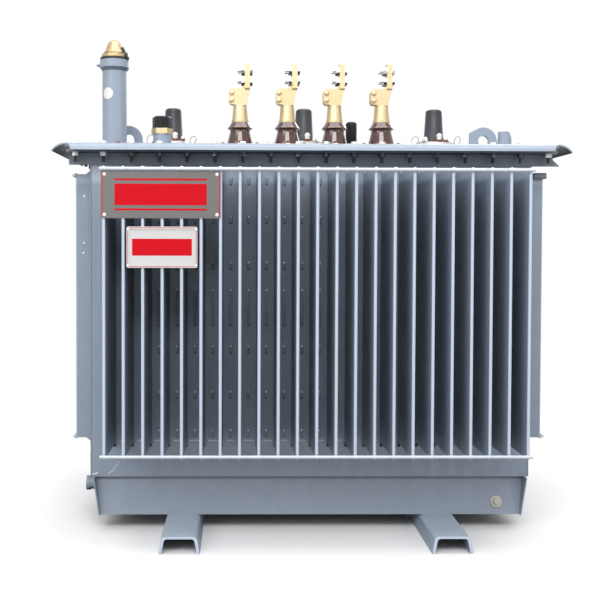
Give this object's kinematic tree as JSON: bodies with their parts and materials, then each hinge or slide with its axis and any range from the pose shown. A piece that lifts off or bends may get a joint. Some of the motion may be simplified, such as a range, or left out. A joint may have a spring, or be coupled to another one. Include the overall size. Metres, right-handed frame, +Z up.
{
  "type": "oil-filled distribution transformer with corrugated tank",
  "caption": "Oil-filled distribution transformer: corrugated grey tank on channel skids, lid with drip edges, porcelain low-voltage bushings, high-voltage cones, filler tube and lifting lugs.",
  "frame": {"origin": "on the ground at the centre of the footprint", "axes": "+X along the tank's length to the right seen from the low-voltage side, -Y towards the low-voltage side that the picture shows, +Z up"},
  "size_m": [1.722, 1.0206, 1.672],
  "materials": {
    "grey_paint": "semi-gloss blue-grey enamel, lightly dusty, thin at welds",
    "brown_porcelain": "dark brown high-gloss glaze",
    "brass": "machined and cast brass, lightly dulled",
    "cone_resin": "smooth dark grey cast resin, satin",
    "zinc_steel": "zinc-plated steel, pale and slightly dull",
    "seal_rubber": "black oil-proof rubber",
    "black_plastic": "black moulded plastic, satin",
    "brushed_plate": "brushed stainless plate with plain red bars",
    "white_enamel": "white enamel with a raised rim and plain red bars"
  },
  "bodies": {
    "root": {"base_box": "grey_paint", "drain_plug": "zinc_steel", "drain_stub": "grey_paint", "filler_cap": "brass", "filler_gasket": "seal_rubber", "filler_tube": "grey_paint", "fin_rods_back": "grey_paint", "fin_rods_front": "grey_paint", "fin_rods_sides": "grey_paint", "fin_wall_back": "grey_paint", "fin_wall_front": "grey_paint", "fin_wall_left": "grey_paint", "fin_wall_right": "grey_paint", "hv_bushing_1": "cone_resin", "hv_bushing_2": "cone_resin", "hv_bushing_3": "cone_resin", "hv_flanges": "zinc_steel", "hv_turrets": "grey_paint", "lid": "grey_paint", "lid_gasket": "seal_rubber", "lug_left": "grey_paint", "lug_right": "grey_paint", "lv_bushing_1": "brown_porcelain", "lv_bushing_2": "brown_porcelain", "lv_bushing_3": "brown_porcelain", "lv_bushing_4": "brown_porcelain", "lv_terminal_1": "brass", "lv_terminal_2": "brass", "lv_terminal_3": "brass", "lv_terminal_4": "brass", "rating_plate": "brushed_plate", "rim_back": "grey_paint", "rim_front": "grey_paint", "rim_left": "grey_paint", "rim_right": "grey_paint", "skid_left": "grey_paint", "skid_right": "grey_paint", "small_plate": "white_enamel", "tap_changer": "black_plastic", "thermometer_pocket": "grey_paint", "valve_cap": "black_plastic", "valve_nut": "brass", "valve_stub": "grey_paint"}
  },
  "joints": []
}
